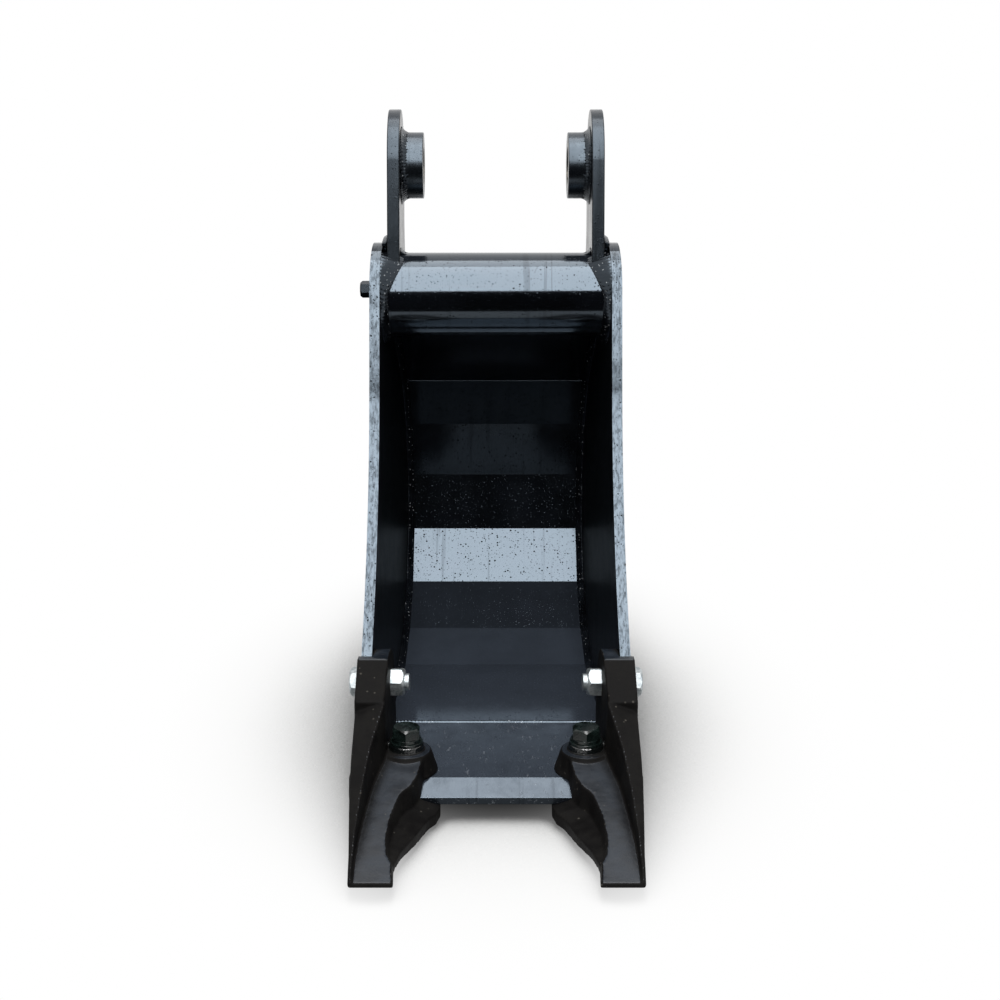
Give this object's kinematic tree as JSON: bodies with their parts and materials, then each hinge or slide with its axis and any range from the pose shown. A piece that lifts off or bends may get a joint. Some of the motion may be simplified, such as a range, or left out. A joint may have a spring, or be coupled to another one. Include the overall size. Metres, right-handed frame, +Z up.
{
  "type": "digging bucket",
  "caption": "Narrow welded digging bucket with two pin ears on a cross tube, a bent wrapper, a bevelled cutting edge and bolted corner teeth.",
  "frame": {"origin": "middle of the dipper pin's bore, on the bucket's centre plane", "axes": "+X to the right along the dipper pin, +Y back away from the mouth, +Z up as the bucket stands on level ground"},
  "size_m": [0.3382, 0.8444, 0.7337],
  "materials": {
    "gloss_paint": "gloss",
    "interior_paint": "gloss",
    "cast_steel": "matte",
    "zinc_steel": "satin",
    "black_steel": "satin",
    "hardened_steel": "satin",
    "weld_bead": "gloss",
    "wear_steel": "satin"
  },
  "bodies": {
    "root": {"side_plate_left": "gloss_paint", "side_plate_right": "gloss_paint", "wrapper": "interior_paint", "top_plate": "gloss_paint", "cutting_edge": "interior_paint", "cross_tube": "gloss_paint", "tube_plug": "black_steel", "heel_strip_left": "wear_steel", "heel_strip_right": "wear_steel", "ear_left": "gloss_paint", "ear_right": "gloss_paint", "dipper_boss_left": "gloss_paint", "dipper_boss_right": "gloss_paint", "link_boss_left": "gloss_paint", "link_boss_right": "gloss_paint", "dipper_bush_left": "hardened_steel", "dipper_bush_right": "hardened_steel", "link_bush_left": "hardened_steel", "link_bush_right": "hardened_steel", "boss_weld_left": "weld_bead", "boss_weld_right": "weld_bead", "ear_weld_left": "weld_bead", "ear_weld_right": "weld_bead", "tooth_left": "cast_steel", "tooth_right": "cast_steel", "lip_bolt_left": "black_steel", "lip_bolt_right": "black_steel", "lip_spring_washer_left": "black_steel", "lip_spring_washer_right": "black_steel", "lip_washer_left": "black_steel", "lip_washer_right": "black_steel", "lip_nut_left": "black_steel", "lip_nut_right": "black_steel", "side_bolt_left": "zinc_steel", "side_bolt_right": "zinc_steel", "side_washer_left": "zinc_steel", "side_washer_right": "zinc_steel", "side_nut_left": "zinc_steel", "side_nut_right": "zinc_steel"}
  },
  "joints": []
}
